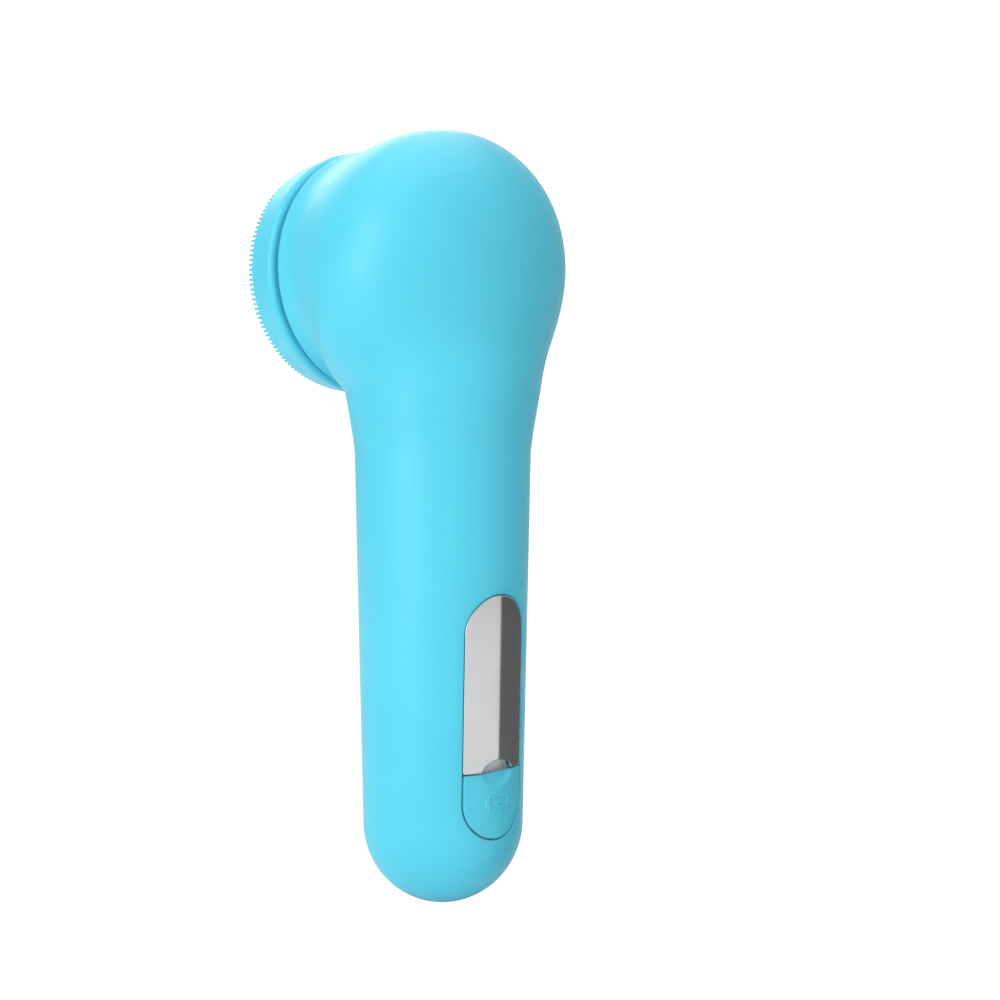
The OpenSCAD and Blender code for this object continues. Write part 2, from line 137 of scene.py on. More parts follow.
shell_plastic = finish("shell plastic", MOULDED, (0.78, 0.79, 0.80), Roughness=0.42, Grain_Size=5200.0)
paint(shell_plastic, "shell_left", "shell_right", "cell_cradle", "gearbox_frame", "switch_plunger")


# ---------------------------------------------------------------------------
# Cell, boards, switch, jack and wires: bought parts clipped into the shell.
# The boards have green solder mask, the cell a blue shrink sleeve.

dark_plastic = finish("dark plastic", MOULDED, (0.022, 0.024, 0.028), Roughness=0.38, Grain_Size=6000.0)
paint(dark_plastic, "charge_jack", "board_chips", "tact_switch", "motor_cap")
solder_mask = finish("solder mask", MOULDED, (0.012, 0.13, 0.05), Roughness=0.28, Variation=0.15,
                     Cloud_Size=900.0, shader={"Coat Weight": 0.3})
paint(solder_mask, "main_board", "switch_board")
sleeve = finish("shrink sleeve", MOULDED, (0.03, 0.09, 0.42), Roughness=0.3, Cloud_Size=140.0)
paint(sleeve, "battery_cell")
red_wire = finish("red insulation", MOULDED, (0.45, 0.01, 0.01), Roughness=0.4)
paint(red_wire, "motor_wires")
black_wire = finish("black insulation", MOULDED, (0.015, 0.015, 0.015), Roughness=0.4)
paint(black_wire, "power_wires")
lip_rubber = finish("lip rubber", MOULDED, (0.02, 0.02, 0.021), Roughness=0.55)
paint(lip_rubber, "shaft_seal")
nylon = finish("gear nylon", MOULDED, (0.82, 0.81, 0.76), Roughness=0.45,
               shader={"Subsurface Weight": 0.2, "Subsurface Scale": 0.001})
paint(nylon, "compound_gear", "output_gear")
clear_plastic = finish("clear moulding", MOULDED, (0.86, 0.9, 0.92), Roughness=0.25, Variation=0.02,
                       shader={"Subsurface Weight": 0.4, "Subsurface Scale": 0.002})
paint(clear_plastic, "light_pipe")


# ---------------------------------------------------------------------------
# Turned and stamped metal: motor, shafts, pins, screws, bushes and contacts.
# Each carries fine marks of the tool that cut it.

def metal_group():
    """Worked metal: streaks drawn out along one axis, a few deeper scratches and cloudy gloss.

    The object's coordinates are stretched by Stretch before a noise, so each blot becomes a line;
    thin bands of a second noise near its middle value are the scratches.
    """
    g, gin, gout = shader_group("worked metal", {
        "Colour": (COLOR, (0.6, 0.6, 0.6, 1)), "Roughness": (FLOAT, 0.25), "Spread": (FLOAT, 0.08),
        "Line Size": (FLOAT, 3000.0), "Stretch": (FLOAT, 0.02), "Scratches": (FLOAT, 0.3)},
        {"Colour": COLOR, "Roughness": FLOAT, "Height": FLOAT})
    at = add(g, "ShaderNodeTexCoord").outputs["Object"]
    squeeze = add(g, "ShaderNodeCombineXYZ", X=1.0, Y=1.0, Z=gin.outputs["Stretch"])
    drawn = add(g, "ShaderNodeVectorMath", {"operation": "MULTIPLY"}, _0=at, _1=squeeze.outputs[0])
    line = add(g, "ShaderNodeTexNoise", Vector=drawn.outputs[0], Scale=gin.outputs["Line Size"], Detail=2.0)
    mark = add(g, "ShaderNodeTexNoise", Vector=at, Scale=330.0, Detail=6.0, Roughness=0.7,
               Distortion=1.6)
    near = add(g, "ShaderNodeMath", {"operation": "COMPARE"}, _0=mark.outputs["Fac"], _1=0.5, _2=0.004)
    scratch = add(g, "ShaderNodeMath", {"operation": "MULTIPLY"}, _0=near.outputs[0],
                  _1=gin.outputs["Scratches"])
    cloud = add(g, "ShaderNodeTexNoise", Vector=at, Scale=90.0, Detail=3.0)
    tone = add(g, "ShaderNodeMapRange", Value=cloud.outputs["Fac"], From_Min=0.3, From_Max=0.7,
               To_Min=0.95, To_Max=1.04)
    colour = add(g, "ShaderNodeVectorMath", {"operation": "SCALE"}, _0=gin.outputs["Colour"],
                 Scale=tone.outputs[0])
    mixed = add(g, "ShaderNodeMath", {"operation": "ADD"}, _0=line.outputs["Fac"], _1=cloud.outputs["Fac"])
    centred = add(g, "ShaderNodeMath", {"operation": "SUBTRACT"}, _0=mixed.outputs[0], _1=1.0)
    spread = add(g, "ShaderNodeMath", {"operation": "MULTIPLY_ADD"}, _0=centred.outputs[0],
                 _1=gin.outputs["Spread"], _2=gin.outputs["Roughness"])
    rough = add(g, "ShaderNodeMath", {"operation": "MULTIPLY_ADD"}, _0=scratch.outputs[0],
                _1=0.25, _2=spread.outputs[0])
    height = add(g, "ShaderNodeMath", {"operation": "SUBTRACT"}, _0=line.outputs["Fac"], _1=scratch.outputs[0])
    g.links.new(colour.outputs[0], gout.inputs["Colour"])
    g.links.new(rough.outputs[0], gout.inputs["Roughness"])
    g.links.new(height.outputs[0], gout.inputs["Height"])
    return g


METAL = metal_group()
turned_steel = finish("turned steel", METAL, (0.56, 0.57, 0.58), bump=0.2, shader={"Metallic": 1.0})
paint(turned_steel, "motor_can", "motor_shaft", "gear_pin", "spindle", "shell_screws", "frame_screws",
      "cell_contacts")
turned_brass = finish("turned brass", METAL, (0.78, 0.56, 0.26), bump=0.2, shader={"Metallic": 1.0})
paint(turned_brass, "motor_pinion", "front_bush", "jack_contact")


# ---------------------------------------------------------------------------
# Brush carrier: a rigid cup in the colour of the skin, pushed on the spindle.
# Its wall is what shows in the groove between head and brush.

AQUA = (0.085, 0.62, 0.80)
carrier_plastic = finish("aqua plastic", MOULDED, AQUA, Roughness=0.42, Grain_Size=5200.0)
paint(carrier_plastic, "brush_carrier")


# ---------------------------------------------------------------------------
# Soft skin: one silicone casting over handle and head, 1.5 mm thick.
# It ends in soft rolled edges at the window, the button and the head's rim.

MM = 0.001
HANDLE_R0, TAPER = 16.5, 0.0226
FLARE, FLARE_Z, FLARE_POWER = 1.62, 94.6, 1.2
HEAD_R, HEAD_Y, HEAD_Z = 26.8, 22.8, 135.2
TILT = math.radians(4.2)
ROLL, CORNER, CORNER_R = 1.4, 1.7, 6.0
CROWN, CHEEK = (40.5, 73.7, 74.4, 50.2), (40.1, 23.8)
DOME_R = HANDLE_R0 / (1 - TAPER)
ARM = HEAD_R + CORNER
PIVOT_Y = -HEAD_Y + ROLL * math.cos(TILT) - ARM * math.sin(TILT)
PIVOT_Z = HEAD_Z - ROLL * math.sin(TILT) - ARM * math.cos(TILT)
SWING = math.pi / 2 - TILT
WINDOW_R, WINDOW_LOW, WINDOW_HIGH = 8.0, 23.8, 57.6
BUTTON_Z, BUTTON_R, BUTTON_GAP = 80.0, 6.0, 0.3
LIGHT_Z, LIGHT_R = 68.0, 1.2
LAND_R, SKIN_T = 21.9, 1.5


def handle_radius(z):
    """A straight taper, plus a power curve that widens the neck; below the dome's centre a sphere."""
    z = np.asarray(z, float)
    neck = FLARE * np.clip((z - FLARE_Z) / (PIVOT_Z - FLARE_Z), 0, None) ** FLARE_POWER
    ball = np.sqrt(np.clip(DOME_R ** 2 - (z - DOME_R) ** 2, 0, None))
    return np.where(z < DOME_R, ball, HANDLE_R0 + TAPER * z + neck)


def bezier(values, t):
    """Sum of the control values times the Bernstein terms of t."""
    n = len(values) - 1
    return sum(math.comb(n, i) * v * t ** i * (1 - t) ** (n - i) for i, v in enumerate(values))


def head_axis_point(r, around, out):
    """A point at radius r and angle around from straight up, out along the head's axis; X, Y, Z in mm."""
    y = -HEAD_Y + r * np.cos(around) * math.sin(TILT) - out * math.cos(TILT)
    z = HEAD_Z + r * np.cos(around) * math.cos(TILT) + out * math.sin(TILT)
    return np.stack(np.broadcast_arrays(r * np.sin(around), y, z), -1)


def skin_rings(around):
    """Rows of points: dome by latitude, handle by height, head by swing, rim by roll.

    In the head each ring is an ellipse, its near and far radii from the inner corner and its half
    width read from Bezier curves of the swing.
    """
    sin, cos = np.sin(around), np.cos(around)
    rows = []
    for latitude in np.radians(np.arange(2, 90, 2)):
        r, z = DOME_R * math.sin(latitude), DOME_R * (1 - math.cos(latitude))
        rows.append(np.stack([r * sin, r * cos, np.full_like(sin, z)], -1))
    for z in np.linspace(DOME_R, PIVOT_Z, 90)[:-1]:
        r = float(handle_radius(z))
        rows.append(np.stack([r * sin, r * cos, np.full_like(sin, z)], -1))
    neck_r = float(handle_radius(PIVOT_Z))
    lean = TAPER + FLARE * FLARE_POWER / (PIVOT_Z - FLARE_Z)
    far, near = neck_r - PIVOT_Y, -neck_r - PIVOT_Y
    t = np.linspace(0, 1, 92)
    outer = bezier((far, far * (1 + lean * SWING / 6), *CROWN, ARM + HEAD_R), t)
    inner = bezier((near, near, CORNER_R, ARM - HEAD_R), t)
    half = bezier((neck_r, neck_r - lean * PIVOT_Y * SWING / 4, *CHEEK, HEAD_R), t)
    for swing, o, i, w in zip(SWING * t, outer, inner, half):
        k = (o + i) / 2 + (o - i) / 2 * cos
        rows.append(np.stack([w * sin, PIVOT_Y + k * math.cos(swing), PIVOT_Z + k * math.sin(swing)], -1))
    for roll in np.radians(np.linspace(10, 90, 9)):
        r = HEAD_R - ROLL * (1 - math.cos(roll))
        rows.append(head_axis_point(r, around, ROLL * (math.sin(roll) - 1)))
    for r in np.linspace(HEAD_R - ROLL - 0.6, LAND_R + 0.3, 6):
        rows.append(head_axis_point(r, around, 0.0))
    rows.append(head_axis_point(LAND_R + 0.08, around, -0.2))
    rows.append(head_axis_point(LAND_R + 0.04, around, -SKIN_T))
    return np.array(rows)


def pocket(grid, rows, cols, low, high, radius, side, fillet, depth):
    """Fills a block of the grid with rings that run in to a round-ended hole and turn down its wall.

    Each ring is a blend, in X and Z, between the block's border and the hole's edge grown outwards,
    and lies on the handle; the last rings follow a quarter round and then drop straight in along Y.
    Returns the new points and the index rows, the first of which is the block's own border.
    """
    i0, i1 = rows
    j0, j1 = cols
    border = ([(i0, j) for j in range(j0, j1)] + [(i, j1) for i in range(i0, i1)]
              + [(i1, j) for j in range(j1, j0, -1)] + [(i, j0) for i in range(i1, i0, -1)])
    at = np.array([grid[i, j] for i, j in border])
    x, z = at[:, 0], at[:, 2]
    spine = np.clip(z, low, high)
    way = np.stack([x, z - spine], -1)
    way /= np.linalg.norm(way, axis=1, keepdims=True)
    rings = []
    for share in (0.86, 0.72, 0.58, 0.45, 0.33, 0.22, 0.13, 0.06, 0.0):
        ex, ez = way[:, 0] * (radius + fillet), spine + way[:, 1] * (radius + fillet)
        rings.append((ex + (x - ex) * share, ez + (z - ez) * share, 0.0))
    for turn in np.radians([22, 45, 67, 90]):
        reach = radius + fillet * (1 - math.sin(turn))
        rings.append((way[:, 0] * reach, spine + way[:, 1] * reach, fillet * (1 - math.cos(turn))))
    for drop in (depth * 0.5, depth):
        rings.append((way[:, 0] * radius, spine + way[:, 1] * radius, drop))
    points = []
    for px, pz, drop in rings:
        y = np.sqrt(handle_radius(pz) ** 2 - px ** 2) - drop
        points.append(np.stack([px, side * y, pz], -1))
    return border, np.array(points)


def mesh_piece(name, points, faces, material, smooth=True):
    """A new object from points in mm and faces, doubles merged, normals made to point outwards."""
    mesh = bpy.data.meshes.new(name)
    mesh.from_pydata((np.asarray(points, float) * MM).tolist(), [], faces)
    work = bmesh.new()
    work.from_mesh(mesh)
    bmesh.ops.remove_doubles(work, verts=work.verts, dist=1e-6)
    bmesh.ops.recalc_face_normals(work, faces=work.faces)
    work.to_mesh(mesh)
    work.free()
    mesh.polygons.foreach_set("use_smooth", np.full(len(mesh.polygons), smooth))
    mesh.materials.append(material)
    piece = bpy.data.objects.new(name, mesh)
    bpy.context.scene.collection.objects.link(piece)
    return piece


def ring_faces(index):
    """Quads between neighbouring closed rows of an index array."""
    a, b = index[:-1], index[1:]
    return np.stack([a, np.roll(a, -1, 1), np.roll(b, -1, 1), b], -1).reshape(-1, 4)


def silicone_edge_shade_group():
    """Soft silicone: the moulded surface, its colour darkened by painted shade near the rolled edges that
    border the seams and the groove.

    A named attribute, edge, is one on the rolled edges and fades to nothing 2 mm away; it sets how much
    painted shade darkens the colour.
    """
    g, gin, gout = shader_group("soft silicone with painted edge shade", {
        "Colour": (COLOR, (*AQUA, 1)), "Roughness": (FLOAT, 0.42), "Variation": (FLOAT, 0.025),
        "Grain Size": (FLOAT, 5200.0), "Edge Shade": (FLOAT, 0.94)},
        {"Colour": COLOR, "Roughness": FLOAT, "Height": FLOAT})
    base = g.nodes.new("ShaderNodeGroup")
    base.node_tree = MOULDED
    base.inputs["Cloud Size"].default_value = 45.0
    base.inputs["Smudge"].default_value = 0.05
    for label in ("Colour", "Roughness", "Variation", "Grain Size"):
        g.links.new(gin.outputs[label], base.inputs[label])
    # painted shade: the edge attribute darkens the colour near the rolled edges, by the seams and the groove
    edge = add(g, "ShaderNodeAttribute", {"attribute_name": "edge"})
    tone = add(g, "ShaderNodeMapRange", Value=edge.outputs["Fac"], From_Min=0.0, From_Max=1.0,
               To_Min=1.0, To_Max=gin.outputs["Edge Shade"])
    colour = add(g, "ShaderNodeVectorMath", {"operation": "SCALE"}, _0=base.outputs["Colour"],
                 Scale=tone.outputs[0])
    g.links.new(colour.outputs[0], gout.inputs["Colour"])
    g.links.new(base.outputs["Roughness"], gout.inputs["Roughness"])
    g.links.new(base.outputs["Height"], gout.inputs["Height"])
    return g


SILICONE = silicone_edge_shade_group()
SOFT_SHADER = {"Subsurface Weight": 0.12, "Subsurface Scale": 0.0015, "Subsurface Radius": (0.4, 1.0, 1.1),
               "Specular IOR Level": 0.45, "Sheen Weight": 0.12, "Sheen Roughness": 0.4}
skin_silicone = finish("aqua silicone", SILICONE, AQUA, bump=0.12, shader=SOFT_SHADER)

COLUMNS = 216
around = math.pi / 2 + 2 * math.pi * np.arange(COLUMNS) / COLUMNS
grid = skin_rings(around)
heights = grid[:, COLUMNS // 4, 2]
index = np.arange(grid.shape[0] * COLUMNS).reshape(grid.shape[0], COLUMNS)
keep = np.ones((grid.shape[0] - 1, COLUMNS), bool)
points = [grid.reshape(-1, 3)]
faces = []
count = index.size
for low, high, radius, middle, span, z0, z1, side, fillet in (
        (WINDOW_LOW, WINDOW_HIGH, WINDOW_R, COLUMNS * 3 // 4, 22, 7.5, 74.0, 1, 0.35),
        (BUTTON_Z, BUTTON_Z, BUTTON_R + BUTTON_GAP, COLUMNS // 4, 17, 71.0, 89.0, -1, 0.4),
        (LIGHT_Z, LIGHT_Z, LIGHT_R + 0.05, COLUMNS // 4, 5, 65.3, 70.7, -1, 0.15)):
    i0, i1 = (int(np.argmin(np.abs(heights[:160] - h))) for h in (z0, z1))
    j0, j1 = middle - span, middle + span
    keep[i0:i1, j0:j1] = False
    border, rings = pocket(grid, (i0, i1), (j0, j1), low, high, radius, side, fillet, 1.6)
    rows = np.vstack([[index[i, j] for i, j in border],
                      count + np.arange(rings.shape[0] * rings.shape[1]).reshape(rings.shape[:2])])
    count += rings.shape[0] * rings.shape[1]
    points.append(rings.reshape(-1, 3))
    faces += ring_faces(rows).tolist()
faces += ring_faces(index).reshape(*keep.shape, 4)[keep].tolist()
pole = count
points.append(np.array([[0.0, 0.0, 0.0]]))
faces += [[pole, int(index[0, (j + 1) % COLUMNS]), int(index[0, j])] for j in range(COLUMNS)]
skin = mesh_piece("soft_skin", np.vstack(points), faces, skin_silicone)


def paint_edge_shade(piece, distance):
    """Writes the edge attribute for the painted edge shade: one at distance 0 mm, falling to nothing at 2 mm.
    """
    mesh = piece.data
    co = np.zeros(len(mesh.vertices) * 3)
    mesh.vertices.foreach_get("co", co)
    value = np.clip(1 - distance(co.reshape(-1, 3) / MM) / 2.0, 0, 1)
    mesh.attributes.new("edge", "FLOAT", "POINT").data.foreach_set("value", value)


def skin_edge_distance(p):
    """Distance in mm from the window's edge, the button's edge or the rim, whichever is nearest."""
    x, y, z = p.T
    window = np.abs(np.hypot(x, z - np.clip(z, WINDOW_LOW, WINDOW_HIGH)) - WINDOW_R) + np.where(y < 0, 99, 0)
    button = np.abs(np.hypot(x, z - BUTTON_Z) - BUTTON_R - BUTTON_GAP) + np.where(y > 0, 99, 0)
    rim = np.abs((y + HEAD_Y) * math.cos(TILT) - (z - HEAD_Z) * math.sin(TILT)) + np.where(z < 100, 99, 0)
    return np.minimum(np.minimum(window, button), rim)


def no_edge(p):
    """Distances for a piece with no painted edge shade: all farther than the 2 mm that the shade reaches."""
    return np.full(len(p), 9.0)


# painted shade: the skin's colour darkens within 2 mm of the window, the button's hole and the rim by the
# groove
paint_edge_shade(skin, skin_edge_distance)
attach(skin, "housing")
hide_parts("skin")


# ---------------------------------------------------------------------------
# Back plate: 1.1 mm stainless steel, rolled to the handle's curve and polished.
# It fills the upper part of the window; a nail notch is cut in its lower edge.

PLATE_SEAM, PLATE_T, PLATE_SUNK = 0.15, 1.1, 0.15
PLATE_CORNER, PLATE_LIFT = 0.4, 0.15
SPLIT_Z, NOTCH_W, NOTCH_H, NOTCH_DROP = 29.7, 4.1, 2.35, 0.3


def inlay(name, loop, spine, sunk, thick, fillet, material, side=1, shape=None, rows=26):
    """A curved plate on the handle with a rounded edge, from its closed outline in X and Z.

    Rings run from the nearest point of a short spine out to the outline drawn in by the edge
    radius, follow a quarter round, drop down the side, and come back under the plate. shape(x, z)
    gives how much lower the face lies at each point.
    """
    loop = np.asarray(loop, float)
    ahead, behind = np.roll(loop, -1, 0), np.roll(loop, 1, 0)
    run = ahead - behind
    inward = np.stack([-run[:, 1], run[:, 0]], -1)
    inward /= np.linalg.norm(inward, axis=1, keepdims=True)
    area = np.sum(loop[:, 0] * ahead[:, 1] - ahead[:, 0] * loop[:, 1])
    inward *= 1 if area > 0 else -1
    heart = np.stack([np.zeros(len(loop)), np.clip(loop[:, 1], *spine)], -1)
    brink = loop + inward * fillet
    layers = [(heart + (brink - heart) * f, 0.0) for f in np.linspace(0, 1, rows) ** 0.8]
    for turn in np.radians([18, 36, 54, 72, 90]):
        layers.append((loop + inward * fillet * (1 - math.sin(turn)), fillet * (1 - math.cos(turn))))
    layers.append((loop, thick))
    layers += [(heart + (loop - heart) * f, thick) for f in (0.6, 0.0)]
    points = []
    for flat, drop in layers:
        x, z = flat.T
        dip = shape(x, z) if shape and drop < thick else 0.0
        y = np.sqrt(np.clip((handle_radius(z) - sunk - drop - dip) ** 2 - x ** 2, 0, None))
        points.append(np.stack([x, side * y, z], -1))
    points = np.array(points)
    index = np.arange(points.shape[0] * points.shape[1]).reshape(points.shape[:2])
    return mesh_piece(name, points.reshape(-1, 3), ring_faces(index).tolist(), material)


def arc(cx, cz, r, start, stop, count):
    """Points of a circular arc in X and Z; angles in degrees from +X towards +Z."""
    a = np.radians(np.linspace(start, stop, count))
    return np.stack([cx + r * np.cos(a), cz + r * np.sin(a)], -1)


def line(x0, z0, x1, z1, count):
    """Points of a straight line in X and Z, without its last point."""
    f = np.linspace(0, 1, count + 1)[:-1, None]
    return np.array([[x0, z0]]) + f * np.array([[x1 - x0, z1 - z0]])


plate_r = WINDOW_R - PLATE_SEAM
plate_low = SPLIT_Z + PLATE_LIFT
notch_tall = NOTCH_H + NOTCH_DROP
first = math.asin((PLATE_LIFT + NOTCH_DROP) / notch_tall)
sweep = np.linspace(first, math.pi - first, 41)
notch = np.stack([NOTCH_W * np.cos(sweep), SPLIT_Z - NOTCH_DROP + notch_tall * np.sin(sweep)], -1)
plate_loop = np.vstack([
    arc(0, WINDOW_HIGH, plate_r, 0, 180, 90)[:-1],
    line(-plate_r, WINDOW_HIGH, -plate_r, plate_low + PLATE_CORNER, 60),
    arc(-plate_r + PLATE_CORNER, plate_low + PLATE_CORNER, PLATE_CORNER, 180, 270, 6)[:-1],
    line(-plate_r + PLATE_CORNER, plate_low, notch[-1, 0], plate_low, 14),
    notch[::-1][:-1],
    line(notch[0, 0], plate_low, plate_r - PLATE_CORNER, plate_low, 14),
    arc(plate_r - PLATE_CORNER, plate_low + PLATE_CORNER, PLATE_CORNER, 270, 360, 6)[:-1],
    line(plate_r, plate_low + PLATE_CORNER, plate_r, WINDOW_HIGH, 60)])
polished_steel = finish("polished steel", METAL, (0.70, 0.71, 0.72), bump=0.05, Roughness=0.1, Spread=0.05,
                        Line_Size=5200.0, Stretch=1.0, Scratches=0.12, shader={"Metallic": 1.0})
plate = inlay("steel_plate", plate_loop, (36.0, WINDOW_HIGH), PLATE_SUNK, PLATE_T, 0.18, polished_steel,
              rows=40)
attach(plate, "housing")
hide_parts("back_plate")


# ---------------------------------------------------------------------------
# Port cover: a silicone flap that closes the charging jack, hinged at its foot.
# It has a nail scoop in its top lip and a raised battery and bolt.

COVER_GAP, COVER_SUNK, COVER_T = 0.3, 0.05, 1.2
COVER_CORNER, COVER_DROP = 0.5, 0.15
SCOOP_DEPTH, SCOOP_STEEP = 0.55, 1.6
JACK_Z = 22.6


def nail_scoop(x, z):
    """A shallow dish in the top lip: deepest on the notch's ellipse centre, nothing at its border."""
    inside = 1 - (x / NOTCH_W) ** 2 - ((z - SPLIT_Z + NOTCH_DROP) / notch_tall) ** 2
    return SCOOP_DEPTH * np.clip(inside * SCOOP_STEEP, 0, 1)


cover_r = WINDOW_R - COVER_GAP
cover_top = SPLIT_Z - COVER_DROP
cover_loop = np.vstack([
    line(cover_r, WINDOW_LOW, cover_r, cover_top - COVER_CORNER, 16),
    arc(cover_r - COVER_CORNER, cover_top - COVER_CORNER, COVER_CORNER, 0, 90, 8)[:-1],
    line(cover_r - COVER_CORNER, cover_top, -cover_r + COVER_CORNER, cover_top, 64),
    arc(-cover_r + COVER_CORNER, cover_top - COVER_CORNER, COVER_CORNER, 90, 180, 8)[:-1],
    line(-cover_r, cover_top - COVER_CORNER, -cover_r, WINDOW_LOW, 16),
    arc(0, WINDOW_LOW, cover_r, 180, 360, 90)[:-1]])
cover = inlay("port_flap", cover_loop, (24.5, 25.5), COVER_SUNK, COVER_T, 0.3, skin_silicone,
              shape=nail_scoop, rows=60)


def cover_edge_distance(p):
    """Distance in mm in from the cover's outline."""
    x, y, z = p.T
    return np.minimum(cover_r - np.hypot(x, np.minimum(z - WINDOW_LOW, 0)), cover_top - z)


# painted shade: the flap's colour darkens along its outline, by the gap round it
paint_edge_shade(cover, cover_edge_distance)


def stroke(x, z, a, b):
    """Distance of each point from the straight stroke between a and b."""
    a, b = np.array(a), np.array(b)
    d = b - a
    f = np.clip(((x - a[0]) * d[0] + (z - a[1]) * d[1]) / (d @ d), 0, 1)
    return np.hypot(x - a[0] - f * d[0], z - a[1] - f * d[1])


ICON_Z = JACK_Z + 1.0
ICON_W, ICON_H, ICON_LINE, ICON_RAISE = 2.55, 1.25, 0.17, 0.24
gx, gz = np.meshgrid(np.linspace(-3.6, 3.6, 181), np.linspace(-2.4, 2.4, 121))
strokes = [((-ICON_W, -ICON_H), (-0.95, -ICON_H)), ((-ICON_W, ICON_H), (-0.75, ICON_H)),
           ((-ICON_W, -ICON_H), (-ICON_W, ICON_H)), ((ICON_W, -ICON_H), (0.75, -ICON_H)),
           ((ICON_W, ICON_H), (0.95, ICON_H)), ((ICON_W, -ICON_H), (ICON_W, ICON_H)),
           ((3.0, -0.45), (3.0, 0.45)),
           ((0.75, 1.9), (-0.75, -0.1)), ((-0.75, -0.1), (0.75, 0.1)), ((0.75, 0.1), (-0.75, -1.9))]
away = np.min([stroke(gx, gz, a, b) for a, b in strokes], 0)
rise = np.clip((ICON_LINE + 0.12 - away) / 0.18, 0, 1)
rise = rise * rise * (3 - 2 * rise)
lift = -COVER_SUNK - 0.06 + (ICON_RAISE + 0.06) * rise
y = np.sqrt((handle_radius(ICON_Z + gz) + lift) ** 2 - gx ** 2)
sheet_points = np.stack([gx, y, ICON_Z + gz], -1)
cells = np.arange(gx.size).reshape(gx.shape)
squares = np.stack([cells[:-1, :-1], cells[:-1, 1:], cells[1:, 1:], cells[1:, :-1]], -1)
tall = np.max([rise[:-1, :-1], rise[:-1, 1:], rise[1:, 1:], rise[1:, :-1]], 0) > 0.001
icon = mesh_piece("cover_icon", sheet_points.reshape(-1, 3), squares[tall].tolist(), skin_silicone)
paint_edge_shade(icon, no_edge)
for piece in (cover, icon):
    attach(piece, "cover")
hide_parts("port_cover")


# ---------------------------------------------------------------------------
# Power button: a silicone cap with a dished face, held behind the shell.
# It stands a tenth of a millimetre proud of the handle's front.

DISH_DEPTH, DISH_R = 0.5, 5.0


def button_dish(x, z):
    """A bowl-shaped hollow, deepest in the middle and gone at its own radius."""
    return DISH_DEPTH * np.clip(1 - (x ** 2 + (z - BUTTON_Z) ** 2) / DISH_R ** 2, 0, 1)


BUTTON_PROUD, BUTTON_T, BUTTON_EDGE = 0.1, 4.6, 0.5
button_loop = arc(0, BUTTON_Z, BUTTON_R, 0, 360, 97)[:-1]
button = inlay("button_cap", button_loop, (BUTTON_Z, BUTTON_Z), -BUTTON_PROUD, BUTTON_T, BUTTON_EDGE,
               skin_silicone, side=-1, shape=button_dish, rows=24)
# painted shade: the cap's colour darkens round its rim, by the gap in the skin
paint_edge_shade(button, lambda p: BUTTON_R - np.hypot(p[:, 0], p[:, 2] - BUTTON_Z))
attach(button, "button")
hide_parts("power_button")


# ---------------------------------------------------------------------------
# Brush pad: a silicone disc moulded on the carrier, with its bristles in one piece.
# Fine bristles stand in rings round a field of stout nubs.

PAD_R, PAD_BACK_R, PAD_GAP, PAD_FRONT = 26.3, 27.0, 1.7, 10.2
CARRIER_R, BRISTLE_H = 22.8, 2.2


def lathe(profile, around):
    """Points of a profile of (radius, distance out) turned about the head's axis."""
    return np.array([head_axis_point(r, around, out) for r, out in profile])


def rounded(corner, start, stop, radius, count=6):
    """Profile points of a corner arc about corner, from angle start to stop in degrees."""
    a = np.radians(np.linspace(start, stop, count))
    return [(corner[0] + radius * math.cos(t), corner[1] + radius * math.sin(t)) for t in a]


profile = ([(CARRIER_R + 0.02, PAD_GAP + 2.4), (CARRIER_R + 0.02, PAD_GAP)]
           + [(r, PAD_GAP) for r in (24.0, 25.0)]
           + rounded((PAD_BACK_R - 1.3, PAD_GAP + 1.3), -90, 5, 1.3, 9)
           + [(PAD_BACK_R + (PAD_R - PAD_BACK_R) * f, PAD_GAP + 1.4 + (PAD_FRONT - PAD_GAP - 1.9) * f)
              for f in (0.1, 0.35, 0.65, 0.9)]
           + rounded((PAD_R - 0.5, PAD_FRONT - 0.5), 5, 90, 0.5, 7)
           + [(r, PAD_FRONT) for r in (25, 22, 18, 14, 10, 6, 3, 0.0)])
turn = 2 * math.pi * np.arange(256) / 256
body = lathe(profile, turn)
index = np.arange(body.shape[0] * body.shape[1]).reshape(body.shape[:2])
pad_silicone = finish("brush silicone", SILICONE, AQUA, bump=0.1, shader=SOFT_SHADER)
pad = mesh_piece("brush_disc", body.reshape(-1, 3), ring_faces(index).tolist(), pad_silicone)
paint_edge_shade(pad, no_edge)


def bristles(seats, foot, tip, height, sides=8):
    """Many rounded pegs as one set of arrays: a small turned profile copied to every seat.

    seats are (radius, angle) on the pad's face; foot and tip are the peg's radii.
    """
    profile = [(foot * 1.25, -0.05), (foot, 0.12), ((foot + tip) / 2, height * 0.5), (tip, height - tip),
               (tip * 0.8, height - tip * 0.4), (tip * 0.42, height - tip * 0.08), (0.0, height)]
    a = 2 * math.pi * np.arange(sides) / sides
    u = np.array([r for r, _ in profile])[:, None] * np.cos(a)
    v = np.array([r for r, _ in profile])[:, None] * np.sin(a)
    h = np.repeat(np.array([o for _, o in profile])[:, None], sides, 1)
    r0, a0 = np.array(seats).T
    sx, sy = r0 * np.sin(a0), r0 * np.cos(a0)
    px, py = sx[:, None, None] + u, sy[:, None, None] + v
    out = PAD_FRONT + h[None] + 0 * px
    x = px
    y = -HEAD_Y + py * math.sin(TILT) - out * math.cos(TILT)
    z = HEAD_Z + py * math.cos(TILT) + out * math.sin(TILT)
    points = np.stack([x, y, z], -1).reshape(-1, 3)
    index = np.arange(len(profile) * sides).reshape(len(profile), sides)
    one = ring_faces(index)
    faces = (one[None] + (np.arange(len(r0)) * index.size)[:, None, None]).reshape(-1, 4)
    return points, faces


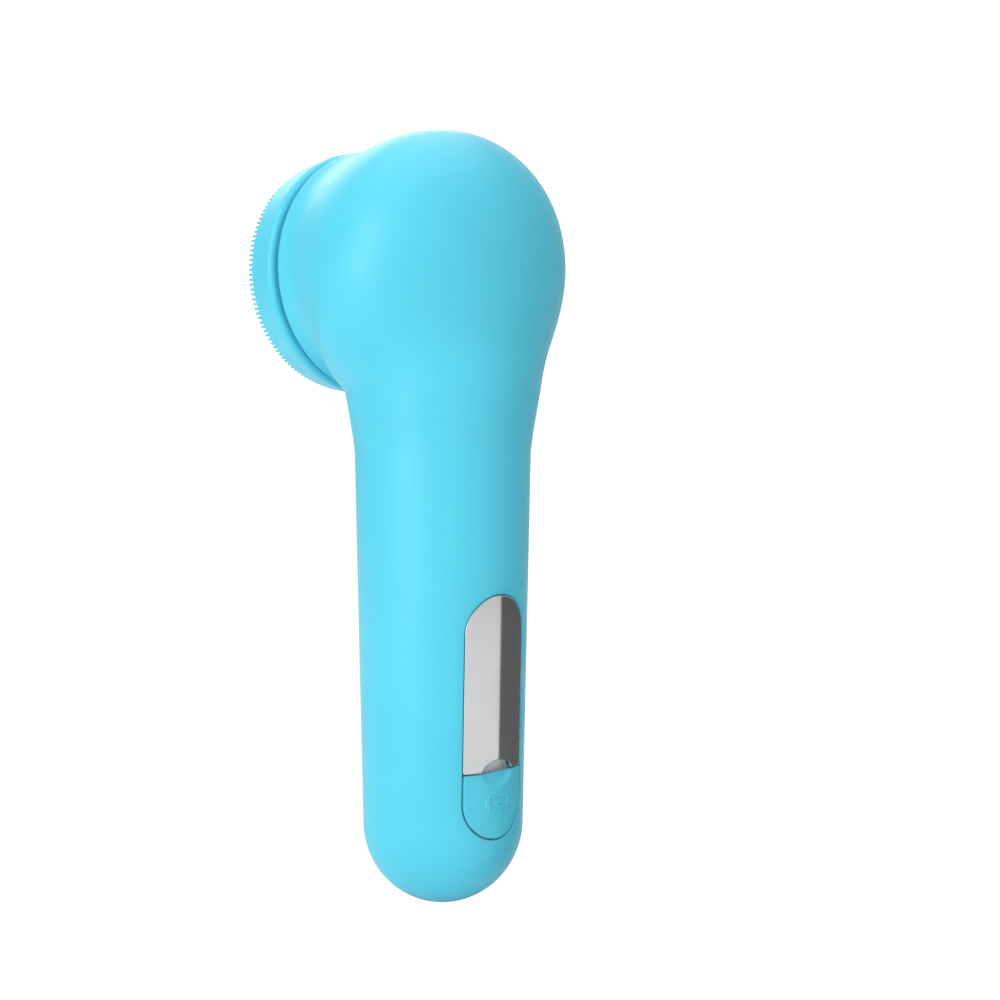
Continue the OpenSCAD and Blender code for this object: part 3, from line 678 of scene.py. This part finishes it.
seats = []
for row, r in enumerate(np.arange(PAD_R - 0.8, 16.3, -1.05)):
    number = int(round(2 * math.pi * r / 1.06))
    seats += [(r, 2 * math.pi * (k + 0.5 * (row % 2)) / number) for k in range(number)]
fine_points, fine_faces = bristles(seats, 0.31, 0.27, BRISTLE_H)
seats = [(0.0, 0.0)]
for k in range(1, 7):
    seats += [(2.45 * k, 2 * math.pi * (j + 0.5 * (k % 2)) / (6 * k)) for j in range(6 * k)]
stout_points, stout_faces = bristles(seats, 0.85, 0.62, BRISTLE_H - 0.2, 12)
points = np.vstack([fine_points, stout_points])
faces = fine_faces.tolist() + (stout_faces + len(fine_points)).tolist()
tuft_silicone = finish("bristle silicone", SILICONE, (0.07, 0.60, 0.80), bump=0.05, Roughness=0.38,
                       shader=SOFT_SHADER)
tufts = mesh_piece("brush_bristles", points, faces, tuft_silicone)
paint_edge_shade(tufts, no_edge)
for piece in (pad, tufts):
    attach(piece, "brush_head")
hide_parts("brush_pad")


# ---------------------------------------------------------------------------
# Studio: a white table, soft boxes at the left, behind and above, and the camera.
# A dark cloth and two dim stretches of wall are there for what the steel plate reflects.

FLOOR_HALF = 6.0
GLOW, GLOW_SHARE = 1.15, 0.92
ROOM_LIT, ROOM_SEEN = 0.85, 1.2
floor = bpy.data.objects.new("floor", bpy.data.meshes.new("floor"))
floor.data.from_pydata([(x * FLOOR_HALF, y * FLOOR_HALF, 0) for x, y in ((-1, -1), (1, -1), (1, 1), (-1, 1))],
                       [], [(0, 1, 2, 3)])
board = finish("white board", MOULDED, (0.9, 0.9, 0.9), Roughness=0.6, Variation=0.01, Cloud_Size=8.0,
               bump=0.02)
# seen straight from the camera the board mostly glows white; to everything else it is plain board
tree = board.node_tree
glow = add(tree, "ShaderNodeEmission", Color=(1, 1, 1, 1), Strength=GLOW)
path = add(tree, "ShaderNodeLightPath")
share = add(tree, "ShaderNodeMath", {"operation": "MULTIPLY"}, _0=path.outputs["Is Camera Ray"], _1=GLOW_SHARE)
blend = add(tree, "ShaderNodeMixShader", _0=share.outputs[0], _1=tree.nodes["Principled BSDF"].outputs[0],
            _2=glow.outputs[0])
tree.links.new(blend.outputs[0], tree.nodes["Material Output"].inputs["Surface"])
floor.data.materials.append(board)
bpy.context.scene.collection.objects.link(floor)


def softbox(name, place, aim, width, height, power):
    """A rectangular area light at place, facing aim; metres and watts."""
    data = bpy.data.lights.new(name, "AREA")
    data.shape, data.size, data.size_y, data.energy = "RECTANGLE", width, height, power
    lamp = bpy.data.objects.new(name, data)
    lamp.location = place
    lamp.rotation_euler = (Vector(aim) - Vector(place)).to_track_quat("-Z", "Y").to_euler()
    bpy.context.scene.collection.objects.link(lamp)
    return lamp


eye = Vector((0.16823, 0.19407, 0.08576))
look = Vector((-0.68983, -0.72395, -0.00477))
right = Vector((-0.72396, 0.68984, -0.00036))
middle = Vector((0, 0, 0.09))


def around_eye(degrees, distance, height):
    """A place at that angle to the right of the line from the brush to the camera."""
    a = math.radians(degrees)
    back = -Vector((look.x, look.y, 0)).normalized()
    side = Vector((right.x, right.y, 0)).normalized()
    flat = back * math.cos(a) + side * math.sin(a)
    return tuple(flat * distance + Vector((0, 0, height)))


softbox("left box", around_eye(-42, 1.0, 0.2), middle, 0.5, 1.2, 7.2)
softbox("back box", around_eye(-158, 0.9, 0.8), middle, 0.8, 0.4, 2.2)
softbox("top box", (0.0, 0.0, 1.0), middle, 1.0, 1.0, 3.5)

# the cloth lies on the table out of the camera's sight, and darkens what the plate reflects
CLOTH_CORNERS = ((47, 0.0185), (87, 1.0), (120, 1.2), (145, 1.0), (141, 0.22), (105, 0.03))
cloth = bpy.data.objects.new("dark_cloth", bpy.data.meshes.new("dark_cloth"))
cloth.data.from_pydata([Vector(around_eye(a, d, 0.0005)) for a, d in CLOTH_CORNERS], [],
                       [tuple(range(len(CLOTH_CORNERS)))])
cloth.data.materials.append(finish("dark cloth", MOULDED, (0.1, 0.1, 0.103), Roughness=0.8, Cloud_Size=20.0))
cloth.visible_camera = False
bpy.context.scene.collection.objects.link(cloth)

world = bpy.data.worlds.new("studio")
world.use_nodes = True
bpy.context.scene.world = world
tree = world.node_tree
tree.nodes.clear()
ray = add(tree, "ShaderNodeTexCoord").outputs["Generated"]
across = add(tree, "ShaderNodeVectorMath", {"operation": "DOT_PRODUCT"}, _0=ray, _1=right)
toward = add(tree, "ShaderNodeVectorMath", {"operation": "DOT_PRODUCT"}, _0=ray, _1=-look)
turn = add(tree, "ShaderNodeMath", {"operation": "ARCTAN2"}, _0=across.outputs["Value"],
           _1=toward.outputs["Value"])
place = add(tree, "ShaderNodeMapRange", Value=turn.outputs[0], From_Min=-math.pi, From_Max=math.pi)
walls = add(tree, "ShaderNodeValToRGB", Fac=place.outputs[0])
stops = walls.color_ramp.elements
stops[0].position, stops[0].color = 0.0, (1, 1, 1, 1)
stops[1].position, stops[1].color = 1.0, (1, 1, 1, 1)
for degrees, shade in ((-165, 1.0), (-145, 0.35), (-75, 0.35), (-30, 0.95),
                       (76, 0.95), (90, 0.35), (148, 0.35), (162, 1.0)):
    stop = stops.new((degrees + 180) / 360)
    stop.color = (shade, shade, shade, 1)
lit = add(tree, "ShaderNodeBackground", Color=walls.outputs["Color"], Strength=ROOM_LIT)
seen = add(tree, "ShaderNodeBackground", Color=(1, 1, 1, 1), Strength=ROOM_SEEN)
path = add(tree, "ShaderNodeLightPath")
mix = add(tree, "ShaderNodeMixShader", _0=path.outputs["Is Camera Ray"], _1=lit.outputs[0], _2=seen.outputs[0])
add(tree, "ShaderNodeOutputWorld", Surface=mix.outputs[0])

lens = bpy.data.cameras.new("camera")
lens.lens, lens.sensor_width = 43.52, 36.0
lens.clip_start, lens.clip_end = 0.01, 20.0
camera = bpy.data.objects.new("camera", lens)
up = right.cross(look)
camera.matrix_world = Matrix((
    (right.x, up.x, -look.x, eye.x), (right.y, up.y, -look.y, eye.y),
    (right.z, up.z, -look.z, eye.z), (0, 0, 0, 1)))
bpy.context.scene.collection.objects.link(camera)
bpy.context.scene.camera = camera
bpy.context.scene.view_settings.view_transform = "Standard"
